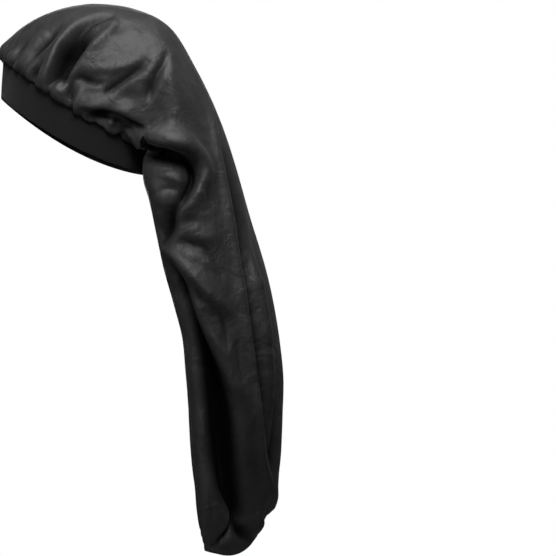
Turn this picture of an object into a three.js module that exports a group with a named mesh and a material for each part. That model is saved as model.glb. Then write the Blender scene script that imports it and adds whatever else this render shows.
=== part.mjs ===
// A long satin sleep bonnet, shown as it is worn: a gathered satin bag that covers the
// crown and falls down the back, sewn to a wide knitted elastic band round the head.
//
// Millimetres. +Z is up, the wearer faces -Y, and +X is the wearer's left. The origin is the
// middle of the head opening, at half the band's width.
import * as THREE from "three";

// Band: an oval ring that falls from the forehead to the nape.
const BAND_LENGTH = 173.5; // forehead to nape, along the tilted oval
const BAND_BREADTH = 151; // ear to ear
const BAND_WIDTH = 36.5; // lower edge to the seam
const BAND_TILT = 26.6; // degrees that the oval falls towards the nape
const BAND_LEAN = 8; // degrees that the band leans back from upright
const BAND_FLARE = 1.3; // how much the upper edge stands out past the middle
const BAND_DIP = 13; // how far the band bows down over the ears
const BAND_WALL = 1.6; // folded knit

// Satin bag.
const SATIN_WALL = 1.2;
const SEAM_GAP = 0.4; // between the band's upper edge and the satin
const BAND_CLEARANCE = 1; // where the satin hangs outside the band
const CROWN_RISE = 115.5; // top of the crown above the origin
const CROWN_BREADTH = 184; // widest part of the crown, ear to ear
const TAIL_DROP = 431; // lowest point of the hem below the origin
const TAIL_DEPTH = 98; // front to back, where the tail is thickest
const TAIL_BREADTH = 190; // side to side, where the tail is widest
const TAIL_SET = 116; // how far behind the origin the tail's middle line hangs
const HEM_GAP = 7; // between the two layers at the closing seam

// Gathers at the band, pleats down the tail and creases on the crown.
const GATHER_COUNT = 15;
const GATHER_DEPTH = 2.4;
const GATHER_REACH = 58; // how far along the cloth the gathers run
const PLEAT_DEPTH = 15;
const SETTLE = 10; // how far from the seam folds reach their full depth
const CREASE_DEPTH = 6;
const CREASE_WIDTH = 10; // half the width
const LIP_DEPTH = 8; // half the step where the crown's slack hangs over the nape

// Over the nape the crown's rings draw together. From one turn to the next, in degrees, they
// leave the dome for the short way from the seam down to the nape panel, which swells.
const NAPE_FROM = 92;
const NAPE_TO = 138;
const NAPE_SWELL = 8;

// Just under the band the nape panel's front edges swing forward, round this turn.
const NAPE_SWING = 12;
const SWING_TURN = 126;
const SWING_REACH = 20;

// The satin's net has this many points round each ring, and so has the band.
const AROUND = 60;

const TAU = 2 * Math.PI;
const radians = (degrees) => (degrees * Math.PI) / 180;
const mix = (a, b, t) => a + (b - a) * t;
const bell = (x) => Math.exp(-x * x);
const smooth = (low, high, x) => {
  const t = Math.min(1, Math.max(0, (x - low) / (high - low)));
  return t * t * (3 - 2 * t);
};

// A point on the band. level runs from -1 at the lower edge to 1 at the seam, and turn from 0
// at the forehead through 90 degrees at the left ear to 180 at the nape.
function bandPoint(level, turn, inset = 0) {
  const half = BAND_WIDTH / 2;
  const along = BAND_LENGTH / 2 + level * BAND_FLARE - inset;
  const across = BAND_BREADTH / 2 + level * BAND_FLARE - inset;
  const forward = along * Math.cos(turn);
  return new THREE.Vector3(
    across * Math.sin(turn),
    level * half * Math.sin(radians(BAND_LEAN)) - forward * Math.cos(radians(BAND_TILT)),
    level * half * Math.cos(radians(BAND_LEAN)) +
      forward * Math.sin(radians(BAND_TILT)) -
      BAND_DIP * Math.sin(turn) ** 2,
  );
}

// Rings of the crown. Each lies across the side view from an inner end, at the nape, to an
// outer end, which moves from the forehead over the top and down the back of the head. Inner
// y is where the ring's front edge lies, and hollow, from 0, is how far its middle lies back
// from that edge. y are shares of BAND_LENGTH, z of CROWN_RISE, breadth of CROWN_BREADTH and
// dip of BAND_DIP.
const CROWN_RINGS = [
  // outer y, outer z, inner y, inner z, breadth, dip, hollow
  [-0.443, 0.545, 0.499, -0.28, 0.88, 0.95, 0],
  [-0.435, 0.623, 0.51, -0.286, 0.935, 0.9, 0],
  [-0.32, 0.814, 0.516, -0.294, 0.967, 0.8, 0],
  [-0.13, 0.948, 0.522, -0.303, 0.99, 0.5, 0],
  [0.089, 1, 0.522, -0.316, 1, 0.3, 0],
  [0.331, 0.948, 0.52, -0.329, 1, 0.1, 0.05],
  [0.527, 0.779, 0.5, -0.346, 1, 0, 0.12],
  [0.677, 0.407, 0.45, -0.38, 1, 0, 0.3],
  [0.787, 0.061, 0.4, -0.44, 1, 0, 0.3],
];

// Rings of the tail. y are distances behind TAIL_SET in shares of TAIL_DEPTH, z of TAIL_DROP
// and breadth of TAIL_BREADTH. Towards the hem, fold closes a ring from a bean, at 0, to a
// crescent of two layers, at 1. Its sides sag and its middle lifts, by shares of TAIL_DROP.
const TAIL_RINGS = [
  // inner y, inner z, outer y, outer z, breadth, hollow, fold, sag, lift
  [-0.47, 0.148, 0.352, 0.07, 0.99, 0.35, 0, 0, 0],
  [-0.475, 0.185, 0.495, 0.176, 1, 0.36, 0, 0, 0],
  [-0.413, 0.26, 0.587, 0.26, 0.99, 0.33, 0, 0, 0],
  [-0.332, 0.343, 0.673, 0.343, 0.97, 0.33, 0, 0, 0],
  [-0.23, 0.427, 0.75, 0.427, 0.95, 0.33, 0, 0, 0],
  [-0.138, 0.51, 0.806, 0.51, 0.94, 0.34, 0, 0, 0],
  [-0.102, 0.594, 0.842, 0.594, 0.93, 0.36, 0, 0, 0],
  [-0.077, 0.677, 0.837, 0.677, 0.92, 0.38, 0, 0, 0],
  [-0.056, 0.761, 0.821, 0.761, 0.91, 0.4, 0.05, 0, 0],
  [-0.01, 0.835, 0.79, 0.835, 0.9, 0.4, 0.15, 0.005, 0],
  [0.035, 0.895, 0.79, 0.885, 0.89, 0.4, 0.4, 0.01, 0.005],
  [0.065, 0.945, 0.77, 0.935, 0.88, 0.4, 0.8, 0.018, 0.03],
  [0.097, 0.976, 0.71, 0.984, 0.87, 0.4, 1, 0.022, 0.075],
];

// Pleats down the tail. turns are where a pleat runs, in degrees from the middle back, at
// even steps between the heights from and to, which are shares of TAIL_DROP. half is the half
// width in degrees, and depth is in shares of PLEAT_DEPTH and negative for a valley.
const PLEATS = [
  // turns, from, to, half width, depth
  [[122, 106, 100, 90, 84, 82, 82, 84], 0.29, 0.99, 11, -1.1], // beside the left flap
  [[10, 52, 60, 65, 65, 63, 62], -0.17, 0.99, 8, 0.5], // left ridge
  [[-6, 36, 44, 49, 50, 49, 48], -0.17, 0.97, 8, -0.6], // behind it
  [[24, 32, 34, 34], 0.1, 1, 9, 0.4],
  [[2, 10, 12, 16], 0.15, 0.95, 10, -0.6],
  [[-22, -12, -8, -4], 0.05, 1, 9, 0.35],
  [[-16, -38, -34, -28], -0.1, 0.96, 9, -0.6],
  [[-30, -60, -58, -52], -0.1, 1, 10, 0.5], // right ridge
  [[-128, -104, -90, -82, -84], 0.28, 0.99, 11, -1], // beside the right flap
  [[162, 160, 156], 0.16, 0.8, 8, -0.35],
  [[184, 188, 184], 0.16, 0.85, 9, -0.4],
  [[206, 210, 206], 0.16, 0.75, 8, -0.35],
];

// Creases of the crown: side is 1 on the wearer's left and -1 on the right, half width and
// depth are shares of CREASE_WIDTH and CREASE_DEPTH, and the path is drawn on the side view,
// y in shares of BAND_LENGTH and z of CROWN_RISE.
const CREASES = [
  // side, half width, depth, path
  [1, 1, -1, [[-0.13, 0.3], [-0.08, 0.52], [-0.02, 0.7], [0.05, 0.84]]],
  [1, 1, 0.7, [[-0.02, 0.36], [0.04, 0.52], [0.12, 0.66], [0.2, 0.8]]],
  [1, 1, -0.6, [[-0.36, 0.36], [-0.33, 0.56], [-0.23, 0.76]]],
  [1, 0.9, -0.7, [[0.12, 0.15], [0.26, 0.29], [0.42, 0.52]]],
  [-1, 1, -1, [[-0.2, 0.28], [-0.12, 0.5], [0.02, 0.72]]],
  [-1, 1, -0.7, [[0.05, 0.2], [0.16, 0.4], [0.34, 0.6]]],
];

// The lip: the crown's slack hangs over the cloth at the nape along this line.
const LIP = [
  [0.24, -0.17], [0.37, -0.208], [0.48, -0.225], [0.57, -0.268], [0.635, -0.33],
  [0.67, -0.43], [0.655, -0.537], [0.61, -0.65], [0.55, -0.78],
];

// How far behind its front edge a ring lies at a turn, as a run from -1 to 1.
function ringShape({ hollow, fold }, turn) {
  const back = Math.cos(turn);
  return mix(back + 2 * hollow * Math.max(0, -back) ** 3, Math.cos(2 * turn), fold);
}

// The tables as rows of one form, in millimetres, with the least value of each ring's shape.
const RINGS = [
  ...CROWN_RINGS.map(([oy, oz, iy, iz, breadth, dip, hollow]) => ({
    outer: [oy * BAND_LENGTH, oz * CROWN_RISE],
    inner: [iy * BAND_LENGTH, iz * CROWN_RISE],
    breadth: (breadth * CROWN_BREADTH) / 2,
    dip: dip * BAND_DIP,
    hollow,
    fold: 0,
    sag: 0,
    lift: 0,
  })),
  ...TAIL_RINGS.map(([iy, iz, oy, oz, breadth, hollow, fold, sag, lift]) => ({
    outer: [TAIL_SET + oy * TAIL_DEPTH, -oz * TAIL_DROP],
    inner: [TAIL_SET + iy * TAIL_DEPTH, -iz * TAIL_DROP],
    breadth: (breadth * TAIL_BREADTH) / 2,
    dip: 0,
    hollow,
    fold,
    sag: sag * TAIL_DROP,
    lift: lift * TAIL_DROP,
  })),
];
for (const [row, ring] of RINGS.entries()) {
  const shapes = Array.from({ length: 181 }, (_, k) => ringShape(ring, radians(k)));
  ring.least = Math.min(...shapes);
  ring.swing = NAPE_SWING * bell(row + 0.5 - CROWN_RINGS.length);
}

// A turn in degrees, the same on both sides: 0 at the outer end and 180 at the nape.
const fromOuterEnd = (turn) => 180 - Math.abs(180 - (turn * 360) / TAU);

function ringPoint(ring, turn) {
  const back = Math.cos(turn);
  const run = (ringShape(ring, turn) - ring.least) / (1 - ring.least);
  const layer = HEM_GAP * ring.fold * Math.min(1, Math.max(0, -4 * back));
  const lift = ring.lift * bell(Math.sin(turn) / 0.5) * smooth(-1, 1, back + 2 * ring.fold);
  const swing = ring.swing * bell((fromOuterEnd(turn) - SWING_TURN) / SWING_REACH);
  return new THREE.Vector3(
    ring.breadth * Math.sin(turn),
    mix(ring.inner[0], ring.outer[0], run) - layer - swing,
    mix(ring.inner[1], ring.outer[1], (back + 1) / 2) -
      ring.dip * Math.sin(turn) ** 2 -
      ring.sag * Math.sin(2 * turn) ** 2 +
      lift,
  );
}

// The smooth form, without folds, at a place along the rings: 0 is the band's seam and k the
// kth ring, with a spline between them.
function formPoint(place, turn) {
  const seam = bandPoint(1, turn);
  seam.z += SEAM_GAP;
  const panel = ringPoint(RINGS[CROWN_RINGS.length - 1], turn);
  const pull = smooth(NAPE_FROM, NAPE_TO, fromOuterEnd(turn));
  const at = (k) => {
    if (k < 1) return seam;
    const point = ringPoint(RINGS[Math.min(k, RINGS.length) - 1], turn);
    const share = k / CROWN_RINGS.length;
    if (share >= 1) return point;
    const swell = NAPE_SWELL * Math.sin(Math.PI * share);
    const near = seam.clone().lerp(panel, share);
    near.x += swell * Math.sin(turn);
    near.y -= swell * Math.cos(turn);
    return point.lerp(near, pull);
  };
  const k = Math.min(Math.floor(place), RINGS.length);
  const t = place - k;
  const points = [at(k - 1), at(k), at(k + 1), at(k + 2)];
  const spline = (axis) => {
    const [a, b, c, d] = points.map((p) => p[axis]);
    const bend = (2 * a - 5 * b + 4 * c - d) * t * t + (3 * b - a - 3 * c + d) * t ** 3;
    return b + ((c - a) * t + bend) / 2;
  };
  return new THREE.Vector3(spline("x"), spline("y"), spline("z"));
}

// Outward normals of a net of closed rings.
function netNormals(net) {
  return net.map((ring, i) =>
    ring.map((_, j) => {
      const n = ring.length;
      const [before, after] = [net[Math.max(i - 1, 0)][j], net[Math.min(i + 1, net.length - 1)][j]];
      const round = ring[(j + 1) % n].clone().sub(ring[(j + n - 1) % n]);
      return round.cross(after.clone().sub(before)).normalize();
    }),
  );
}

// Moves a point out of the band's way, square to the band's axis.
function clearOfBand(point) {
  const half = BAND_WIDTH / 2;
  const [sinLean, cosLean] = [Math.sin(radians(BAND_LEAN)), Math.cos(radians(BAND_LEAN))];
  const [sinTilt, cosTilt] = [Math.sin(radians(BAND_TILT)), Math.cos(radians(BAND_TILT))];
  const share = half * (sinLean * sinTilt + cosLean * cosTilt);
  const reach = BAND_CLEARANCE + SATIN_WALL + BAND_FLARE;
  const [along, across] = [BAND_LENGTH / 2 + reach, BAND_BREADTH / 2 + reach];
  const dip = BAND_DIP * Math.min(1, (point.x / across) ** 2);
  const level = (point.y * sinTilt + (point.z + dip) * cosTilt) / share;
  const forward = ((point.z + dip) * sinLean - point.y * cosLean) * (half / share);
  const out = Math.hypot(point.x / across, forward / along);
  if (Math.abs(level) > 1 || out > 1) return point;
  const push = (1 / out - 1) * smooth(0, 0.1, 1 - Math.abs(level));
  point.x += push * point.x;
  point.y -= push * forward * cosTilt;
  point.z += push * forward * sinTilt;
  return point;
}

// How far a point of the side view is from a path, signed, and how far along the path its
// nearest place is, from 0 to 1. The left of the path is positive.
function fromPath(path, y, z) {
  let best = { gap: Infinity, along: 0 };
  for (let i = 0; i + 1 < path.length; i++) {
    const [ay, az] = path[i];
    const [dy, dz] = [path[i + 1][0] - ay, path[i + 1][1] - az];
    const t = Math.min(1, Math.max(0, ((y - ay) * dy + (z - az) * dz) / (dy * dy + dz * dz)));
    const [ry, rz] = [y - ay - t * dy, z - az - t * dz];
    const gap = Math.hypot(ry, rz) * Math.sign(dy * rz - dz * ry || 1);
    if (Math.abs(gap) < Math.abs(best.gap)) best = { gap, along: (i + t) / (path.length - 1) };
  }
  return best;
}
const inSideView = (path) => path.map(([y, z]) => [y * BAND_LENGTH, z * CROWN_RISE]);

function creaseDepth(point, normal) {
  let depth = 0;
  for (const [side, half, share, path] of CREASES) {
    const { gap, along } = fromPath(inSideView(path), point.y, point.z);
    const ends = smooth(0, 0.2, along) * smooth(0, 0.3, 1 - along);
    const facing = smooth(0.1, 0.5, side * normal.x);
    depth += share * CREASE_DEPTH * bell(gap / (half * CREASE_WIDTH)) * ends * facing;
  }
  const { gap, along } = fromPath(inSideView(LIP), point.y, point.z);
  const step = Math.tanh(gap / LIP_DEPTH) * bell(gap / (4 * LIP_DEPTH));
  const ends = smooth(0, 0.12, along) * smooth(0, 0.25, 1 - along);
  return depth + LIP_DEPTH * step * ends * smooth(0.1, 0.5, Math.abs(normal.x));
}

function pleatDepth(point, turn) {
  const drop = -point.z / TAIL_DROP;
  let depth = 0;
  for (const [turns, from, to, half, share] of PLEATS) {
    const t = Math.min(1, Math.max(0, (drop - from) / (to - from)));
    const step = Math.min(turns.length - 2, Math.floor(t * (turns.length - 1)));
    const course = mix(turns[step], turns[step + 1], t * (turns.length - 1) - step);
    const off = ((((turn * 360) / TAU - course) % 360) + 540) % 360 - 180;
    depth += share * PLEAT_DEPTH * bell(off / half) * smooth(0, 0.45, t) * smooth(0, 0.1, 1 - t);
  }
  return depth;
}

// Gathers stand out and fall in round the seam, each with a strength of its own.
function gatherDepth(distance, turn) {
  const strength = 0.75 + 0.25 * Math.sin((5 * turn + 1) * 1.7);
  const reach = GATHER_REACH * (0.8 + 0.3 * Math.sin(3 * turn + 2));
  const envelope = smooth(0, SETTLE, distance) * smooth(0, 1, 1 - distance / reach);
  return GATHER_DEPTH * strength * Math.cos(GATHER_COUNT * turn) * envelope;
}

function satinBag() {
  const places = [0];
  for (let k = 0; k < CROWN_RINGS.length; k++) places.push(k + 0.5, k + 1);
  for (let k = 1; k <= TAIL_RINGS.length; k++) {
    if (k < 9) places.push(CROWN_RINGS.length + k - 0.5);
    places.push(CROWN_RINGS.length + k);
  }
  const turns = Array.from({ length: AROUND }, (_, j) => (j * TAU) / AROUND);
  const form = places.map((place) => turns.map((turn) => formPoint(place, turn)));
  const normals = netNormals(form);
  const distance = turns.map(() => 0);
  const outer = form.map((ring, i) =>
    ring.map((point, j) => {
      if (i) distance[j] += point.distanceTo(form[i - 1][j]);
      const settled = smooth(0, SETTLE, distance[j]) * (1 - 0.7 * (i === form.length - 1));
      const depth = gatherDepth(distance[j], turns[j]) +
        settled * (creaseDepth(point, normals[i][j]) + pleatDepth(point, turns[j]));
      return clearOfBand(point.clone().addScaledVector(normals[i][j], depth));
    }),
  );
  const folded = netNormals(outer);
  const inner = outer.map((ring, i) =>
    ring.map((point, j) => point.clone().addScaledVector(folded[i][j], -SATIN_WALL)),
  );
  return shellGeometry(outer, inner);
}

// Builds one closed skin from rings of points: an outer net, an inner net and a rim. The last
// rings are closed across.
function shellGeometry(outer, inner) {
  const n = outer[0].length;
  const positions = [];
  const index = [];
  for (const ring of [...outer, ...inner]) for (const p of ring) positions.push(p.x, p.y, p.z);
  const quad = (a, b, c, d) => index.push(a, c, b, a, d, c);
  const net = (first, rings, inside) => {
    for (let i = 0; i < rings - 1; i++)
      for (let j = 0; j < n; j++) {
        const a = first + i * n + j;
        const b = first + i * n + ((j + 1) % n);
        if (inside) quad(a, b, b + n, a + n);
        else quad(a, a + n, b + n, b);
      }
  };
  const close = (first, inside) => {
    for (let j = 0; j < n / 2; j++) {
      const at = (i) => first + (((i % n) + n) % n);
      const corners = [at(j - n / 4), at(j + 1 - n / 4), at((3 * n) / 4 - j - 1), at((3 * n) / 4 - j)];
      if (!inside) corners.reverse();
      const kept = corners.filter((v, i) => corners.indexOf(v) === i);
      index.push(kept[0], kept[2], kept[1]);
      if (kept.length === 4) index.push(kept[0], kept[3], kept[2]);
    }
  };
  const innerFirst = outer.length * n;
  net(0, outer.length, false);
  net(innerFirst, inner.length, true);
  for (let j = 0; j < n; j++) quad(j, (j + 1) % n, innerFirst + ((j + 1) % n), innerFirst + j);
  close((outer.length - 1) * n, false);
  close(innerFirst + (inner.length - 1) * n, true);
  return indexed(positions, index);
}

function elasticBand() {
  const levels = [-1, -0.94, 0, 0.94, 1];
  const section = (turn) => [
    ...levels.map((level) => bandPoint(level, turn, Math.abs(level) === 1 ? 0.5 : 0)),
    ...[...levels].reverse().map((level) =>
      bandPoint(level, turn, BAND_WALL - (Math.abs(level) === 1 ? 0.5 : 0)),
    ),
  ];
  const positions = [];
  const index = [];
  const m = 2 * levels.length;
  for (let j = 0; j < AROUND; j++)
    for (const p of section((j * TAU) / AROUND)) positions.push(p.x, p.y, p.z);
  for (let j = 0; j < AROUND; j++)
    for (let k = 0; k < m; k++) {
      const [a, b] = [j * m + k, j * m + ((k + 1) % m)];
      const [c, d] = [b, a].map((v) => (v + m) % (AROUND * m));
      index.push(a, c, b, a, d, c);
    }
  return indexed(positions, index);
}

function indexed(positions, index) {
  const geometry = new THREE.BufferGeometry();
  geometry.setAttribute("position", new THREE.Float32BufferAttribute(positions, 3));
  geometry.setIndex(index);
  geometry.computeVertexNormals();
  return geometry;
}

const group = new THREE.Group();
function add(name, geometry, color, roughness) {
  const material = new THREE.MeshStandardMaterial({ color, roughness, metalness: 0 });
  const mesh = new THREE.Mesh(geometry, material);
  mesh.name = name;
  group.add(mesh);
}

add("satin_bag", satinBag(), 0x2e2e30, 0.38);
add("elastic_band", elasticBand(), 0x161617, 0.85);

export default group;
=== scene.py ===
# A long satin sleep bonnet in its worn form. The satin bag and the elastic band are built
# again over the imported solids, with their folds, seams and fabrics. +Z is up, the wearer faces
# -Y, and +X is the wearer's left, which the photograph shows.
import math

import bpy
import numpy as np
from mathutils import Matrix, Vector


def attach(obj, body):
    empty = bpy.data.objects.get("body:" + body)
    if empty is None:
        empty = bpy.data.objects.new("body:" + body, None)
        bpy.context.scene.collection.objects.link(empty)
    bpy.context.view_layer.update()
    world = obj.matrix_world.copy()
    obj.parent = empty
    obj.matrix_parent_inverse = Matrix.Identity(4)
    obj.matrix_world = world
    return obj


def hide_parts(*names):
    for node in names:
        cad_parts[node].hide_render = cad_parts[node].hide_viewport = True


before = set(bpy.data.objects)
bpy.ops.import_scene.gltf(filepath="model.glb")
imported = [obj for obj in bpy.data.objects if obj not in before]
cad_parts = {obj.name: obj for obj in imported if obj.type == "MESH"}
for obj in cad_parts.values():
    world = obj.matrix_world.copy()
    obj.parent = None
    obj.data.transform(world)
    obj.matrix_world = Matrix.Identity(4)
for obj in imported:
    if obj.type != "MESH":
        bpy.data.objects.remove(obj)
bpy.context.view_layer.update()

# Sizes are in millimetres, and meshes are made in metres.
MM = 0.001

# The band and the satin's form, with the part's own sizes.
BAND_LENGTH = 173.5  # forehead to nape, along the tilted oval
BAND_BREADTH = 151  # ear to ear
BAND_WIDTH = 36.5  # lower edge to the seam
BAND_TILT = math.radians(26.6)  # how far the oval falls towards the nape
BAND_LEAN = math.radians(8)  # how far the band leans back from upright
BAND_FLARE = 1.3  # how much the upper edge stands out past the middle
BAND_DIP = 13  # how far the band bows down over the ears
BAND_WALL = 1.6  # folded knit
SEAM_GAP = 0.4  # between the band's upper edge and the satin
CROWN_RISE = 115.5  # top of the crown above the origin
CROWN_BREADTH = 184  # widest part of the crown, ear to ear
TAIL_DROP = 431  # lowest point of the hem below the origin
TAIL_DEPTH = 98  # front to back, where the tail is thickest
TAIL_BREADTH = 190  # side to side, where the tail is widest
TAIL_SET = 116  # how far behind the origin the tail's middle line hangs
HEM_GAP = 7  # between the two layers at the closing seam

# Over the nape the crown's rings draw together. From one turn to the next, in degrees, they
# leave the dome for the short way from the seam down to the nape panel, which swells.
NAPE_FROM = 92
NAPE_TO = 138
NAPE_SWELL = 8

# Just under the band the nape panel's front edges swing forward, round this turn.
NAPE_SWING = 12
SWING_TURN = 126
SWING_REACH = 20

# The satin's thickness at the seam. Over this stretch below it the thickness doubles, so that
# the lining stays behind the folds.
SATIN_WALL = 0.8
LINING_DROP = (2, 8)

# How the satin hangs over the band: clear of the knit, outwards, and down over the seam. Out
# and down come on over the first stretch from the seam and fade over the next.
BAND_CLEARANCE = 0.8
PUFF_RISE = 5
PUFF_OUT = 2.4
PUFF_OUT_FADE = (6, 30)
PUFF_DOWN = 2.5
PUFF_DOWN_FADE = (5, 16)

# Folds and wrinkles come on over these lengths from the seam and from the hem, where a share
# of the folds is left.
FOLDS_FROM_SEAM = 9
FOLDS_FROM_HEM = 22
FOLDS_AT_HEM = 0.25
WRINKLES_FROM_ENDS = 25

# The line of the closing seam: how far it lies from the hem, its depth and its half width.
HEM_SEAM_PLACE = 6
HEM_SEAM_DEPTH = 0.8
HEM_SEAM_WIDTH = 1.5

# The way from the crown to the tail is eased over both sides: the ring and the turn in degrees
# where that is strongest, how far it reaches from them, and the rounds of easing.
EASED_RING = 7
EASED_RINGS = 3
EASED_TURN = 118
EASED_DEGREES = 38
EASED_ROUNDS = 320

# The nets: points round each ring, and rows in each stretch of the satin's rings.
AROUND = 288
ROWS = [
    # last ring, rows to a ring
    (1, 16),
    (6, 9),
    (11, 17),
    (22, 10),
]
BAND_AROUND = 480
BAND_LEVELS = 33

# The band's surface: its edges are rounded over a share of its half width, its middle swells,
# it waves a little round the head, and the seam puckers it from this share up.
BAND_ROUNDING = 0.05
BAND_SWELL = 0.35
BAND_WAVE = 0.25
PUCKERS = 46
PUCKER_DEPTH = 0.5
PUCKERS_FROM = 0.6

# The cloth coordinates of both fabrics: millimetres to a unit, and how far round they reach.
CLOTH_UNIT = 100
SATIN_ROUND = 540
BAND_ROUND = 510

# Rings of the crown. Inner ends lie at the nape, and outer ends go from the forehead over the
# top. y are shares of BAND_LENGTH, z of CROWN_RISE, breadth of CROWN_BREADTH, dip of BAND_DIP.
CROWN_RINGS = [
    # outer y, outer z, inner y, inner z, breadth, dip, hollow
    (-0.443, 0.545, 0.499, -0.28, 0.88, 0.95, 0),
    (-0.435, 0.623, 0.51, -0.286, 0.935, 0.9, 0),
    (-0.32, 0.814, 0.516, -0.294, 0.967, 0.8, 0),
    (-0.13, 0.948, 0.522, -0.303, 0.99, 0.5, 0),
    (0.089, 1, 0.522, -0.316, 1, 0.3, 0),
    (0.331, 0.948, 0.52, -0.329, 1, 0.1, 0.05),
    (0.527, 0.779, 0.5, -0.346, 1, 0, 0.12),
    (0.677, 0.407, 0.45, -0.38, 1, 0, 0.3),
    (0.787, 0.061, 0.4, -0.44, 1, 0, 0.3),
]

# Rings of the tail, down to the closed hem. y are distances behind TAIL_SET in shares of
# TAIL_DEPTH, z of TAIL_DROP and breadth of TAIL_BREADTH. Towards the hem, fold closes a ring to
# two layers. Its sides sag and its middle lifts, by shares of TAIL_DROP.
TAIL_RINGS = [
    # inner y, inner z, outer y, outer z, breadth, hollow, fold, sag, lift
    (-0.47, 0.148, 0.352, 0.07, 0.99, 0.35, 0, 0, 0),
    (-0.475, 0.185, 0.495, 0.176, 1, 0.36, 0, 0, 0),
    (-0.413, 0.26, 0.587, 0.26, 0.99, 0.33, 0, 0, 0),
    (-0.332, 0.343, 0.673, 0.343, 0.97, 0.33, 0, 0, 0),
    (-0.23, 0.427, 0.75, 0.427, 0.95, 0.33, 0, 0, 0),
    (-0.138, 0.51, 0.806, 0.51, 0.94, 0.34, 0, 0, 0),
    (-0.102, 0.594, 0.842, 0.594, 0.93, 0.36, 0, 0, 0),
    (-0.077, 0.677, 0.837, 0.677, 0.92, 0.38, 0, 0, 0),
    (-0.056, 0.761, 0.821, 0.761, 0.91, 0.4, 0.05, 0, 0),
    (-0.01, 0.835, 0.79, 0.835, 0.9, 0.4, 0.15, 0.005, 0),
    (0.035, 0.895, 0.79, 0.885, 0.89, 0.4, 0.4, 0.01, 0.005),
    (0.065, 0.945, 0.77, 0.935, 0.88, 0.4, 0.8, 0.018, 0.03),
    (0.097, 0.976, 0.71, 0.984, 0.87, 0.4, 1, 0.022, 0.075),
]

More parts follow.
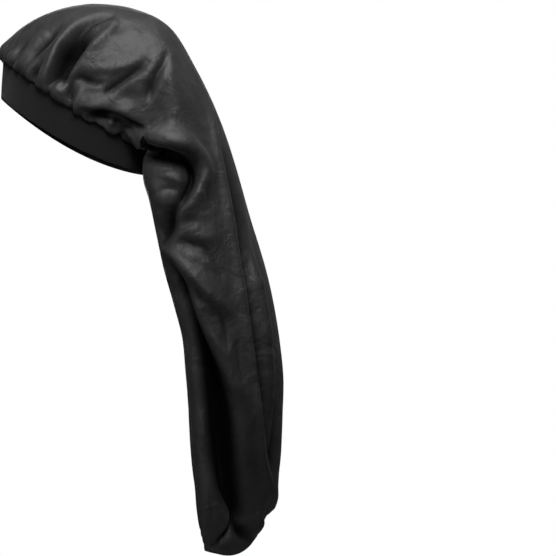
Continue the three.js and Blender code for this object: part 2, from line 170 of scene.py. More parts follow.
# Folds drawn on the side view. Places are in millimetres right of and below the corner of
# the side view, which lies at this y and z. A bell is a soft fold and a crease a sharp one. A
# step lifts the cloth left of its path and sinks it on the right. Side is 1 for the wearer's
# left. Lean widens a fold left of its path and narrows it on the right. Roll is how far the
# cloth left of the path slides over it.
VIEW_CORNER = (-80.5, 120)
FOLDS = [
    # kind, side, lean, roll, stations of (right, below, half width, depth)
    # The lip: the crown's slack hangs over the nape.
    ("step", 1, 0, 6, [(112, 141, 2.5, 2), (127, 143, 2.5, 6), (145, 144.5, 2.8, 9),
                       (164, 147, 2.8, 11), (182, 152, 2.6, 11), (194, 161, 2.3, 11),
                       (200, 174, 2, 10), (198, 187, 2, 8), (190, 200, 2, 6), (179, 212, 2, 4),
                       (171, 223, 2, 0)]),
    ("bell", 1, 0, 0, [(118, 128, 6, 0), (135, 133, 8, 5), (158, 138, 9, 8), (182, 146, 8, 6),
                       (196, 158, 6, 2), (202, 168, 5, 0)]),
    # Under the lip the cloth falls back into a recess.
    ("bell", 1, 0, 0, [(124, 147, 4, 0), (136, 152, 6, -9), (154, 157, 9, -13), (174, 163, 9, -11),
                       (186, 176, 6, -5), (184, 192, 4, -2), (178, 204, 3, 0)]),
    # The deep fold over the ear, the valley beside it and the bright ridge behind them.
    ("bell", 1, -0.35, 0, [(53, 93, 3, 0), (57, 83, 5, -11), (63, 66, 6, -17), (71, 50, 6, -15),
                           (82, 35, 5, -11), (94, 26, 4, -8), (110, 22, 3.5, -4),
                           (118, 27, 3, 0)]),
    ("bell", 1, 0, 0, [(64, 96, 3, 0), (67, 82, 4, -12), (74, 64, 6, -16), (85, 48, 6, -13),
                       (99, 35, 4, -6), (110, 28, 3, 0)]),
    ("bell", 1, 0, 0, [(80, 60, 3, 0), (88, 46, 3, 3), (98, 34, 3, 2), (106, 28, 3, 0)]),
    ("crease", 1, -0.5, 0, [(67, 101, 2.5, 0), (69, 85, 3, 5), (76, 71, 3.5, 8), (89, 58, 4, 8),
                            (101, 46, 4, 7), (113, 34, 4, 4), (118, 18, 3, 0)]),
    ("bell", 1, 0, 0, [(110, 46, 4, 0), (118, 37, 4, -3), (126, 26, 4, 0)]),
    ("bell", 1, 0, 0, [(44, 88, 3, 0), (50, 76, 4, 4), (57, 58, 5, 5), (68, 39, 6, 4),
                       (84, 22, 6, 0)]),
    # The loose front, with a hollow over the seam.
    ("bell", 1, 0, 0, [(35, 90, 2, 0), (37, 79, 3.5, -7), (41, 71, 3, -4), (46, 62, 3, 0)]),
    ("bell", 1, 0, 0, [(14, 74, 2.5, 0), (18, 62, 3, -5), (27, 46, 4, -5), (44, 30, 4, 0)]),
    ("bell", 1, 0, 0, [(28, 70, 3, 0), (38, 58, 4, -5), (50, 45, 4, -5.5), (66, 30, 4, 0)]),
    ("crease", 1, 0, 0, [(20, 74, 3, 0), (24, 62, 3, 2), (33, 48, 4, 2), (50, 32, 4, 0)]),
    ("bell", 1, 0, 0, [(6, 60, 2, 0), (10, 48, 2.5, -3.5), (18, 36, 3, -2), (26, 28, 3, 0)]),
    ("bell", 1, 0, 0, [(12, 58, 2, 0), (16, 50, 2, -2.5), (22, 40, 2.5, 0)]),
    # Small folds over the ear.
    ("crease", 1, 0, 0, [(77, 114, 2, 2), (79, 104, 2.5, 4), (82, 95, 2.5, 3), (87, 88, 2, 0)]),
    ("bell", 1, 0, 0, [(70, 108, 2.5, 0), (72, 99, 3, -6), (72, 89, 3.5, -5), (73, 81, 3, 0)]),
    ("crease", 1, 0, 0, [(58, 96, 2, 0), (61, 90, 2, 3), (65, 84, 2, 0)]),
    ("crease", 1, 0.3, 0, [(76, 88, 2, 0), (82, 84, 2, -5), (90, 87, 2, -5), (100, 90, 2, -4),
                           (108, 87, 2, 0)]),
    # Shallow creases behind the ridge.
    ("crease", 1, 0.4, 0, [(104, 104, 3, 0), (113, 95, 3, -6), (126, 86, 3, -6),
                           (140, 75, 3, -5), (153, 60, 3, 0)]),
    ("bell", 1, 0, 0, [(84, 74, 4, 0), (100, 76, 5, 2.5), (120, 74, 5, 2.5), (142, 66, 4, 0)]),
    ("bell", 1, 0, 0, [(147, 108, 4, 0), (150, 96, 5, -5), (157, 80, 4, -5), (164, 68, 4, -4),
                       (167, 54, 3, 0)]),
    # The slack over the band turns under, with a curl in it.
    ("step", 1, 0, 3, [(80, 111, 2, 0), (92, 113, 2.5, 4), (106, 113.5, 2.5, 6), (122, 117, 2.5, 7),
                       (137, 125, 2.5, 5), (149, 133, 2.5, 0)]),
    ("bell", 1, 0, 0, [(88, 117, 2.5, 0), (102, 122, 4.5, -7), (118, 129, 5, -7), (134, 136, 4, -4),
                       (148, 141, 4, 0)]),
    ("bell", 1, 0, 0, [(104, 127, 2.5, 0), (111, 127, 3, 4), (118, 129, 2.5, 0)]),
    # The ridge from the crown down the side of the tail, and the valley behind it.
    ("crease", 1, 0.35, 0, [(188, 58, 5, 0), (200, 88, 6, 4), (208, 122, 6, 6), (215, 165, 6, 7),
                            (225, 216, 6, 8), (234, 273, 6, 8), (242, 320, 6, 7),
                            (249, 362, 6, 7), (254, 413, 6, 8), (257, 463, 5, 8),
                            (267, 507, 5, 4), (270, 520, 4, 0)]),
    ("bell", 1, 0, 0, [(198, 66, 3, 0), (209, 92, 4, -6), (219, 126, 5, -10), (229, 168, 7, -13),
                       (240, 212, 8, -16), (248, 273, 7, -14), (254, 320, 7, -14),
                       (260, 362, 7, -15), (265, 413, 6, -14), (267, 463, 5, -12),
                       (273, 500, 4, -6), (277, 514, 3, 0)]),
    ("crease", 1, 0, 0, [(224, 120, 4, 0), (233, 150, 4, 3), (243, 190, 4, 3), (252, 240, 4, 0)]),
    ("crease", 1, 0, 0, [(240, 210, 4, 0), (252, 262, 4, 3), (262, 320, 4, 3), (268, 370, 4, 0)]),
    # The panel at the nape, its pocket and the pinch under it.
    ("bell", 1, 0, 0, [(148, 180, 6, 0), (156, 190, 7, 3), (163, 203, 7, 3), (166, 212, 5, 0)]),
    ("bell", 1, 0, 0, [(178, 159, 3, 0), (190, 168, 4.5, -8), (193, 181, 4.5, -8),
                       (186, 195, 4, -6), (176, 208, 3, 0)]),
    ("crease", 1, 0.3, 0, [(150, 176, 2.5, 0), (162, 178, 3, 2), (176, 184, 3, 2),
                           (186, 186, 2.5, 0)]),
    ("crease", 1, 0.3, 0, [(150, 200, 2.5, 0), (160, 194, 3, -2), (172, 192, 3, -2),
                           (182, 198, 2.5, 0)]),
    ("bell", 1, 0, 0, [(176, 206, 5, 0), (171, 217, 7, -7), (166, 229, 8, -11), (162, 240, 6, -8),
                       (160, 248, 4, 0)]),
    ("crease", 1, 0.4, 0, [(159, 246, 3, 1), (172, 256, 6, 7), (188, 274, 8, 12), (204, 292, 8, 11),
                           (218, 306, 6, 5), (228, 318, 5, 0)]),
    ("crease", 1, 0, 0, [(162, 246, 2.5, 0), (178, 243, 3, -4), (196, 246, 4, -4),
                         (214, 254, 4, 0)]),
    ("crease", 1, 0, 0, [(166, 254, 2, 0), (180, 266, 2.5, -2.5), (194, 284, 3, -3),
                         (200, 300, 3, 0)]),
    ("crease", 1, 0, 0, [(178, 250, 2.5, 0), (194, 258, 3, 2.5), (210, 266, 3, 2),
                         (222, 272, 3, 0)]),
    # The deep diagonal valley between the front flap and the middle roll.
    ("bell", 1, -0.2, 0, [(161, 250, 3, 0), (170, 268, 5, -7), (180, 286, 7, -10),
                          (190, 316, 7, -11), (200, 344, 9, -17), (211, 374, 11, -26),
                          (219, 410, 13, -33), (225, 450, 13, -34), (231, 484, 11, -27),
                          (238, 508, 8, -12), (242, 520, 6, 0)]),
    ("crease", 1, 0.3, 0, [(182, 280, 5, 0), (194, 306, 6, 4), (206, 338, 7, 5), (222, 368, 7, 5),
                           (234, 396, 7, 4), (240, 430, 7, 4), (246, 470, 7, 3), (252, 505, 6, 0)]),
    ("crease", 1, 0, 0, [(205, 392, 4, 0), (209, 430, 4, 3), (216, 470, 4, 4), (226, 498, 4, 4),
                         (236, 512, 4, 0)]),
    ("bell", 1, 0, 0, [(214, 424, 4, 0), (222, 452, 4, 4), (231, 482, 4, 5), (239, 504, 3, 0)]),
    ("crease", 1, 0, 0, [(193, 300, 3, 0), (200, 306, 3, 2.5), (206, 300, 3, 0)]),
    # Small creases across the tail.
    ("crease", 1, 0.3, 0, [(176, 226, 3, 0), (190, 222, 3, -2.5), (206, 226, 3, 0)]),
    ("crease", 1, 0.3, 0, [(196, 182, 3, 0), (204, 196, 3, -2.5), (212, 214, 3, 0)]),
    ("crease", 1, 0.3, 0, [(184, 238, 3, 0), (200, 240, 3, 2.5), (220, 236, 3, 0)]),
    ("crease", 1, 0.3, 0, [(200, 246, 3, 0), (212, 262, 3, -2.5), (220, 284, 3, 0)]),
    ("crease", 1, 0.3, 0, [(170, 262, 3, 0), (184, 276, 3, 2.5), (198, 284, 3, 0)]),
    ("crease", 1, 0.3, 0, [(214, 306, 3, 0), (222, 326, 3, -2.5), (226, 350, 3, 0)]),
    ("crease", 1, 0.3, 0, [(204, 322, 3, 0), (216, 344, 3, 2.5), (230, 360, 3, 0)]),
    ("crease", 1, 0, 0, [(244, 250, 2.5, 0), (252, 244, 2.5, -2), (260, 246, 2.5, 0)]),
    ("crease", 1, 0, 0, [(246, 292, 2.5, 0), (256, 284, 2.5, 2.5), (266, 286, 2.5, 0)]),
    ("crease", 1, 0, 0, [(256, 352, 2.5, 0), (265, 346, 2.5, -2), (274, 350, 2.5, 0)]),
    ("crease", 1, 0, 0, [(232, 330, 3, 0), (236, 362, 3, -2.5), (243, 392, 3, 0)]),
    ("crease", 1, 0, 0, [(194, 396, 3, 0), (200, 424, 3, 2), (203, 452, 3, 0)]),
    ("crease", 1, 0, 0, [(205, 470, 3, 0), (210, 500, 3, -2), (214, 524, 3, 0)]),
    # The bottom: the hem turned up at the front, and the roll that ends the tail.
    ("crease", 1, 0, 0, [(210, 541, 2.2, -4), (226, 527, 2.2, -7), (235, 512, 2.2, -6),
                         (238, 504, 2, 0)]),
    ("bell", 1, 0, 0, [(236, 510, 5, 0), (239, 524, 6, -9), (247, 534, 5, -7), (258, 536, 4, 0)]),
    ("crease", 1, 0, 0, [(246, 500, 3, 0), (254, 514, 3.5, 4), (256, 528, 3.5, 4),
                         (248, 543, 3, 0)]),
    # The far side, which the photograph does not show.
    ("step", -1, 0, 3, [(124, 142, 4, 5), (150, 146, 5, 8), (176, 154, 5, 8), (188, 168, 5, 6),
                        (184, 186, 4, 5), (172, 204, 3, 0)]),
    ("bell", -1, 0, 0, [(46, 96, 4, 0), (54, 78, 6, -6), (66, 54, 7, -7), (88, 34, 6, 0)]),
    ("crease", -1, 0, 0, [(62, 100, 4, 0), (70, 82, 5, 4), (86, 58, 6, 5), (106, 38, 6, 0)]),
    ("bell", -1, 0, 0, [(94, 108, 4, 0), (108, 88, 6, -4), (128, 66, 6, -4), (148, 50, 5, 0)]),
    ("bell", -1, 0, 0, [(20, 80, 4, 0), (28, 62, 6, -4), (42, 42, 6, 0)]),
    ("bell", -1, 0, 0, [(172, 250, 4, 0), (184, 290, 7, -9), (200, 340, 9, -13),
                        (214, 400, 10, -18), (222, 460, 10, -18), (232, 508, 7, 0)]),
    ("crease", -1, 0, 0, [(196, 70, 5, 0), (214, 130, 7, 4), (228, 220, 8, 6), (246, 330, 8, 6),
                          (252, 440, 7, 6), (262, 515, 5, 0)]),
    ("bell", -1, 0, 0, [(222, 130, 6, 0), (240, 230, 8, -9), (256, 340, 8, -10), (262, 440, 7, -9),
                        (270, 505, 4, 0)]),
]

# How many steps a path takes between two stations, and how far a fold reaches from it, in half
# widths. A fold fades where the cloth turns away from the side view, between these two shares
# of its normal. Lean comes on over LEAN_OVER beside the path, and roll is strongest at
# ROLL_PLACE, in half widths.
PATH_STEPS = 6
FOLD_REACH = 4.5
FOLD_FACING = (0.05, 0.4)
NARROWEST_FOLD = 0.5
LEAN_OVER = 3
ROLL_PLACE = 0.8
ROLL_WIDTH = 1.3

# Pleats of the back and of the front panel, which the side view doesn't show. From and to are
# shares of TAIL_DROP. A pleat deepens over the first share of its length and ends over the last.
PLEAT_RISE = 0.4
PLEAT_END = 0.1
PLEATS = [
    # turns in degrees from the middle back, from, to, half width in degrees, depth
    ((24, 32, 34, 34), 0.1, 1, 8, 6),
    ((2, 10, 12, 16), 0.1, 0.97, 9, -9),
    ((-22, -12, -8, -4), 0.05, 1, 8, 6),
    ((-16, -34, -30, -26), -0.05, 0.96, 8, -8),
    ((162, 160, 156), 0.16, 0.8, 7, -5),
    ((184, 188, 184), 0.16, 0.85, 8, -6),
    ((206, 210, 206), 0.16, 0.75, 7, -5),
]

# Gathers round the band, from long and few to short and many. They come on over the first
# stretch from the seam, and drift sideways by up to a share of their spacing.
GATHER_RISE = 7
GATHER_DRIFT = 0.9
GATHERS = [
    # folds round the band, reach, depth
    (20, 75, 2.2),
    (39, 36, 1.8),
    (64, 20, 1.4),
]

# Hollows whose shade is painted into the satin, small and large. The painted shade begins at a
# share of the depth.
HOLLOW_FROM = 0.12
HOLLOWS = [
    # rounds of smoothing that a hollow is measured from, depth at which it is darkest
    (8, 1.3),
    (50, 3),
    (200, 5.5),
    (700, 11),
]

# How far folds and pleats sink the cloth where its painted shade is darkest, and the share of that
# where the painted shade begins.
SUNK_DEPTH = 14
SUNK_FROM = 0.08

# Wrinkles all over the satin, drawn out downwards. The warp bends them, in shares of their
# size, over stretches of WARP_SIZE times that size. Between patches a share of them is left.
# The shift picks the part of the noise that they come from.
WRINKLES = [
    # size, depth
    (58, 3),
    (27, 1.2),
    (13, 0.35),
]
WRINKLE_STRETCH = (1, 1, 0.4)
WRINKLE_WARP = 1.2
WARP_SIZE = 2.2
PATCH_SIZE = 80
PATCH_REST = 0.3
NOISE_SHIFT = 7


def smooth(low, high, x):
    """Rises smoothly from 0, where x is low or less, to 1, where it is high or more."""
    t = np.clip((x - low) / (high - low), 0, 1)
    return t * t * (3 - 2 * t)


def bell(x):
    """1 at the middle, and near 0 from 2 on."""
    return np.exp(-x * x)


def degrees_off(turn):
    """Turns in degrees from a ring's outer end, the same to both sides."""
    return np.abs((np.degrees(turn) + 180) % 360 - 180)


def spline(a, b, c, d, t):
    """The point at share t of the way from b to c, on a smooth curve through all four."""
    bend = (2 * a - 5 * b + 4 * c - d) * t ** 2 + (3 * b - a - 3 * c + d) * t ** 3
    return b + ((c - a) * t + bend) / 2


def noise(u, v, seed, cells):
    """Smooth random values from 0 to 1, where v repeats after so many cells."""
    size = 64
    values = np.random.RandomState(seed).rand(size, cells)
    iu = np.floor(u).astype(int)
    iv = np.floor(v).astype(int)
    su = (u - iu) ** 2 * (3 - 2 * (u - iu))
    sv = (v - iv) ** 2 * (3 - 2 * (v - iv))

    def at(a, b):
        return values[a % size, b % cells]

    low = at(iu, iv) * (1 - su) + at(iu + 1, iv) * su
    high = at(iu, iv + 1) * (1 - su) + at(iu + 1, iv + 1) * su
    return low * (1 - sv) + high * sv


def noise_in_space(p, seed):
    """Smooth random values from 0 to 1 at points in space."""
    size = 24
    values = np.random.RandomState(seed).rand(size, size, size)
    cell = np.floor(p).astype(int)
    part = p - cell
    part = part * part * (3 - 2 * part)
    total = np.zeros(p.shape[:-1])
    for corner in np.ndindex(2, 2, 2):
        share = np.prod(np.where(corner, part, 1 - part), axis=-1)
        total += share * values[tuple(np.moveaxis((cell + corner) % size, -1, 0))]
    return total


def uneven(values):
    """Turns random values from 0 to 1 into factors round 1."""
    return 0.4 + 1.2 * values


def band_points(level, turn, out=0.0):
    """A ring of the band, at level -1 for its lower edge to 1 for its seam."""
    half = BAND_WIDTH / 2
    forward = (BAND_LENGTH / 2 + level * BAND_FLARE + out) * np.cos(turn)
    across = BAND_BREADTH / 2 + level * BAND_FLARE + out
    rise = level * half
    return np.stack([
        across * np.sin(turn),
        rise * math.sin(BAND_LEAN) - forward * math.cos(BAND_TILT),
        rise * math.cos(BAND_LEAN) + forward * math.sin(BAND_TILT) - BAND_DIP * np.sin(turn) ** 2,
    ], axis=-1)


def ring_rows():
    """The satin's rings in millimetres, from the one after the seam to the hem."""
    rows = []
    for oy, oz, iy, iz, breadth, dip, hollow in CROWN_RINGS:
        rows.append(dict(
            outer=(oy * BAND_LENGTH, oz * CROWN_RISE), inner=(iy * BAND_LENGTH, iz * CROWN_RISE),
            breadth=breadth * CROWN_BREADTH / 2, dip=dip * BAND_DIP, hollow=hollow,
            fold=0, sag=0, lift=0))
    for iy, iz, oy, oz, breadth, hollow, fold, sag, lift in TAIL_RINGS:
        rows.append(dict(
            outer=(TAIL_SET + oy * TAIL_DEPTH, -oz * TAIL_DROP),
            inner=(TAIL_SET + iy * TAIL_DEPTH, -iz * TAIL_DROP),
            breadth=breadth * TAIL_BREADTH / 2, dip=0, hollow=hollow,
            fold=fold, sag=sag * TAIL_DROP, lift=lift * TAIL_DROP))
    return rows


def ring_shape(ring, turn):
    """How far a ring lies towards its outer end: a bean, which folds to two layers."""
    end = np.cos(turn)
    bean = end + 2 * ring["hollow"] * np.maximum(0, -end) ** 3
    return bean * (1 - ring["fold"]) + np.cos(2 * turn) * ring["fold"]


def ring_points(ring, turn):
    """A ring's points, from its outer end at turn 0 round by its inner end."""
    end = np.cos(turn)
    shape = ring_shape(ring, turn)
    run = (shape - shape.min()) / (1 - shape.min())
    layer = HEM_GAP * ring["fold"] * np.clip(-4 * end, 0, 1)
    lift = ring["lift"] * bell(np.sin(turn) / 0.5) * smooth(-1, 1, end + 2 * ring["fold"])
    (iy, iz), (oy, oz) = ring["inner"], ring["outer"]
    return np.stack([
        ring["breadth"] * np.sin(turn),
        iy + (oy - iy) * run - layer,
        iz + (oz - iz) * (end + 1) / 2 - ring["dip"] * np.sin(turn) ** 2
        - ring["sag"] * np.sin(2 * turn) ** 2 + lift,
    ], axis=-1)


def form_net(places, turn):
    """The smooth form: a spline through the band's seam and the rings."""
    seam = band_points(1, turn) + (0, 0, SEAM_GAP)
    rings = [ring_points(ring, turn) for ring in ring_rows()]
    off = degrees_off(turn)
    for k, ring in enumerate(rings):
        swing = NAPE_SWING * bell(k + 0.5 - len(CROWN_RINGS))
        ring[:, 1] -= swing * bell((off - SWING_TURN) / SWING_REACH)
    panel = rings[len(CROWN_RINGS) - 1]
    pull = smooth(NAPE_FROM, NAPE_TO, off)[:, None]
    outward = np.stack([np.sin(turn), -np.cos(turn), 0 * turn], axis=-1)
    for k in range(1, len(CROWN_RINGS)):
        share = k / len(CROWN_RINGS)
        near = seam + (panel - seam) * share + outward * NAPE_SWELL * math.sin(math.pi * share)
        rings[k - 1] = rings[k - 1] + (near - rings[k - 1]) * pull
    rings = [seam, seam] + rings + [rings[-1]] * 2
    net = []
    for place in places:
        k = min(int(place), len(rings) - 4)
        net.append(spline(*rings[k:k + 4], place - k))
    return np.array(net)


def normals(net):
    """Unit vectors out of the cloth. A net's rows run down it, its columns round it."""
    down = np.gradient(net, axis=0)
    around = np.roll(net, -1, axis=1) - np.roll(net, 1, axis=1)
    n = np.cross(around, down)
    return n / np.maximum(np.linalg.norm(n, axis=-1, keepdims=True), 1e-9)


def relax(net, rounds):
    """Moves each point half the way to the middle of its neighbours, so many times."""
    for _ in range(rounds):
        beside = (np.roll(net, 1, axis=1) + np.roll(net, -1, axis=1)) / 2
        inside = net.copy()
        inside[1:-1] = (net[:-2] + net[2:]) / 2
        net = net + 0.5 * ((beside + inside) / 2 - net)
    return net


def path_through(stations):
    """A smooth path through a fold's stations, with their widths and depths."""
    p = np.array(stations, dtype=float)
    p = np.vstack([2 * p[0] - p[1], p, 2 * p[-1] - p[-2]])
    path = []
    for i in range(1, len(p) - 2):
        for t in np.arange(PATH_STEPS) / PATH_STEPS:
            path.append(spline(*p[i - 1:i + 3], t))
    path.append(p[-2])
    return np.array(path)


def nearest_on_path(path, x, y):
    """How far points of the side view lie from a path, and its width, depth and left there."""
    best = np.full(x.shape, np.inf)
    gap, width, depth = np.zeros(x.shape), np.ones(x.shape), np.zeros(x.shape)
    left = np.zeros(x.shape + (2,))
    for a, b in zip(path[:-1], path[1:]):
        step = b[:2] - a[:2]
        size = np.hypot(*step)
        t = np.clip(((x - a[0]) * step[0] + (y - a[1]) * step[1]) / size ** 2, 0, 1)
        dx, dy = x - a[0] - t * step[0], y - a[1] - t * step[1]
        far = np.hypot(dx, dy)
        closer = far < best
        best[closer] = far[closer]
        # Left of the path, as seen in the side view, is positive.
        turned = np.sign(step[1] * dx - step[0] * dy)
        gap[closer] = (far * turned)[closer]
        width[closer] = (a[2] + (b[2] - a[2]) * t)[closer]
        depth[closer] = (a[3] + (b[3] - a[3]) * t)[closer]
        left[closer] = (step[1] / size, -step[0] / size)
    return gap, width, depth, left


def fold_section(kind, x):
    """A fold's height over x, the distance left of its path in half widths."""
    if kind == "step":
        return np.tanh(1.3 * x) * bell(x / 4)
    if kind == "crease":
        return np.exp(-1.25 * (np.sqrt(x * x + 0.09) - 0.3))
    return bell(x)


def fold_moves(net, normal):
    """Moves of the net's points along their normals, and across the folds that roll over."""
    out = np.zeros(net.shape[:2])
    slide = np.zeros(net.shape)
    right = net[..., 1] - VIEW_CORNER[0]
    below = VIEW_CORNER[1] - net[..., 2]
    for kind, side, lean, roll, stations in FOLDS:
        facing = smooth(*FOLD_FACING, side * normal[..., 0])
        path = path_through(stations)
        reach = FOLD_REACH * path[:, 2].max()
        near = facing > 0
        for place, course in ((right, path[:, 0]), (below, path[:, 1])):
            near &= (place > course.min() - reach) & (place < course.max() + reach)
        gap, width, depth, left = nearest_on_path(path, right[near], below[near])
        width = width * (1 + lean * np.tanh(gap / LEAN_OVER))
        x = gap / np.maximum(width, NARROWEST_FOLD)
        out[near] += depth * fold_section(kind, x) * facing[near]
        if roll:
            share = depth / abs(path[:, 3]).max()
            move = -roll * share * bell((x - ROLL_PLACE) / ROLL_WIDTH) * facing[near]
            slide[near, 1] += left[:, 0] * move
            slide[near, 2] -= left[:, 1] * move
    return out, slide


def pleat_moves(net, turn):
    """Moves of the net's points along their normals, for the pleats down the tail."""
    drop = -net[..., 2] / TAIL_DROP
    degrees = np.degrees(turn)[None, :]
    out = np.zeros(net.shape[:2])
    for turns, start, end, half, depth in PLEATS:
        t = np.clip((drop - start) / (end - start), 0, 1)
        course = np.interp(t, np.linspace(0, 1, len(turns)), turns)
        off = (degrees - course + 540) % 360 - 180
        out += depth * bell(off / half) * smooth(0, PLEAT_RISE, t) * smooth(0, PLEAT_END, 1 - t)
    return out


def gather_moves(distance, turn):
    """Gathers: rounded ridges with sharp valleys between them, each with its own size."""
    out = np.zeros(distance.shape)
    share = turn[None, :] / math.tau
    mean_ridge = 0.64
    drifts, ends_round = 24, 40
    for i, (count, reach, depth) in enumerate(GATHERS):
        drift = GATHER_DRIFT * noise(distance / (1.5 * reach), share * drifts, 20 + i, drifts)
        ridge = np.abs(np.sin(math.pi * (share * count + drift)))
        size = uneven(noise(0 * distance, share * count, 30 + i, count))
        ends = reach * uneven(noise(0 * distance, share * ends_round, 40 + i, ends_round))
        fading = smooth(0, GATHER_RISE, distance) * (1 - smooth(0.1, 1, distance / ends))
        out += 1.5 * depth * (ridge - mean_ridge) * size * fading
    return out


def wrinkle_moves(net):
    """Wrinkles: rounded dents, deepest where smooth noise crosses its middle."""
    out = np.zeros(net.shape[:2])
    rounding, mean_dent = 0.08, 0.45
    for i, (size, depth) in enumerate(WRINKLES):
        warp = WRINKLE_WARP * noise_in_space(net / (WARP_SIZE * size) + NOISE_SHIFT, 40 + i)
        place = net / size * WRINKLE_STRETCH + warp[..., None] + NOISE_SHIFT
        value = noise_in_space(place, 50 + i)
        dent = np.sqrt((2 * value - 1) ** 2 + rounding) - mean_dent
        patch = smooth(0.3, 0.7, noise_in_space(net / PATCH_SIZE + NOISE_SHIFT, 60 + i))
        out += depth * dent * (PATCH_REST + (1 - PATCH_REST) * patch)
    return out


def painted_shade_of_hollows(net):
    """How deep each point lies in a fold, from 0 on the open cloth to 1, which sets the painted
    shade in the hollows.
    """
    outward = normals(relax(net, 6))
    share = np.zeros(net.shape[:2])
    for rounds, depth in HOLLOWS:
        below = ((relax(net, rounds) - net) * outward).sum(axis=-1)
        share = np.maximum(share, smooth(HOLLOW_FROM, 1, below / depth))
    return relax(share, 3)


def clear_of_band(net, reach):
    """Moves points out of the band's way, square to its axis."""
    half = BAND_WIDTH / 2
    sin_lean, cos_lean = math.sin(BAND_LEAN), math.cos(BAND_LEAN)
    sin_tilt, cos_tilt = math.sin(BAND_TILT), math.cos(BAND_TILT)
    share = half * (sin_lean * sin_tilt + cos_lean * cos_tilt)
    along, across = BAND_LENGTH / 2 + reach, BAND_BREADTH / 2 + reach
    x, y, z = net[..., 0], net[..., 1], net[..., 2]
    dip = BAND_DIP * np.minimum(1, (x / across) ** 2)
    level = (y * sin_tilt + (z + dip) * cos_tilt) / share
    forward = ((z + dip) * sin_lean - y * cos_lean) * (half / share)
    out = np.hypot(x / across, forward / along)
    push = np.where((np.abs(level) < 1) & (out < 1), 1 / np.maximum(out, 0.2) - 1, 0)
    push *= smooth(0, 0.08, 1 - np.abs(level))
    move = [push * x, -push * forward * cos_tilt, push * forward * sin_tilt]
    return net + np.stack(move, axis=-1)


def smooth_form():
    """The satin without its folds, eased over both sides, and the turn of each column."""
    thin = 1
    places = [0]
    for last, rows in ROWS:
        count = (last - round(places[-1])) * rows // thin
        places.extend(np.linspace(places[-1], last, count + 1)[1:])
    places = np.array(places)
    turn = np.arange(AROUND // thin) * math.tau / (AROUND // thin)
    form = form_net(places, turn)
    over_rings = bell((places[:, None] - EASED_RING) / EASED_RINGS)
    over_turns = bell((degrees_off(turn)[None, :] - EASED_TURN) / EASED_DEGREES)
    eased = over_rings * over_turns
    return form + (relax(form, EASED_ROUNDS) - form) * eased[..., None], turn


def satin_net():
    """The satin's net with all its folds, what its fabric needs to know of each point, and the
    painted shade where its folds sink it.
    """
    form, turn = smooth_form()
    steps = np.linalg.norm(np.diff(form, axis=0), axis=-1)
    distance = np.vstack([np.zeros((1, len(turn))), np.cumsum(steps, axis=0)])
    to_hem = distance[-1] - distance
    normal = normals(form)
    out, slide = fold_moves(form, normal)
    settled = smooth(0, FOLDS_FROM_SEAM, distance)
    hem = FOLDS_AT_HEM + (1 - FOLDS_AT_HEM) * smooth(0, FOLDS_FROM_HEM, to_hem)
    puffed = smooth(0, PUFF_RISE, distance)
    moves = (out + pleat_moves(form, turn)) * settled * hem
    # Painted shade, deepest where folds and pleats sink the cloth.
    sunk_shade = smooth(SUNK_FROM, 1, -moves / SUNK_DEPTH)
    puff = PUFF_OUT * puffed * (1 - smooth(*PUFF_OUT_FADE, distance))
    moves += gather_moves(distance, turn) + puff
    moves -= HEM_SEAM_DEPTH * bell((to_hem - HEM_SEAM_PLACE) / HEM_SEAM_WIDTH)
    net = form + normal * moves[..., None] + slide * (settled * hem)[..., None]
    net[..., 2] -= PUFF_DOWN * puffed * (1 - smooth(*PUFF_DOWN_FADE, distance))
    net = relax(net, 1)
    fine = wrinkle_moves(net) * smooth(0, WRINKLES_FROM_ENDS, distance)
    fine *= smooth(0, WRINKLES_FROM_ENDS, to_hem)
    net = net + normals(net) * fine[..., None]
    net = clear_of_band(net, BAND_FLARE + BAND_CLEARANCE + SATIN_WALL)
    return net, distance, turn, sunk_shade


def mesh_from(name, points, faces, uv):
    """A smooth piece that rides on the one body, with its cloth coordinates."""
    mesh = bpy.data.meshes.new(name)
    mesh.from_pydata((points * MM).tolist(), [], faces)
    mesh.polygons.foreach_set("use_smooth", [True] * len(mesh.polygons))
    layer = mesh.uv_layers.new(name="cloth")
    loops = np.empty(len(mesh.loops), dtype=int)
    mesh.loops.foreach_get("vertex_index", loops)
    layer.data.foreach_set("uv", uv[loops].ravel())
    mesh.validate()
    mesh.update()
    piece = bpy.data.objects.new(name, mesh)
    bpy.context.scene.collection.objects.link(piece)
    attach(piece, "root")
    return piece


def net_faces(rows, n, first, inside):
    """Four-sided faces of a net whose points start at number first."""
    faces = []
    for i in range(rows - 1):
        for j in range(n):
            a, b = first + i * n + j, first + i * n + (j + 1) % n
            quad = (a, a + n, b + n, b)
            faces.append(quad[::-1] if inside else quad)
    return faces


def closing_faces(n, first, inside):
    """Faces between the front and back halves of the last ring, which close the hem."""
    faces = []
    side = n // 4
    for j in range(n // 2):
        at = [(j - side) % n, (j + 1 - side) % n, (3 * side - j - 1) % n, (3 * side - j) % n]
        corners = list(dict.fromkeys(first + k for k in at))
        faces.append(tuple(corners if inside else corners[::-1]))
    return faces


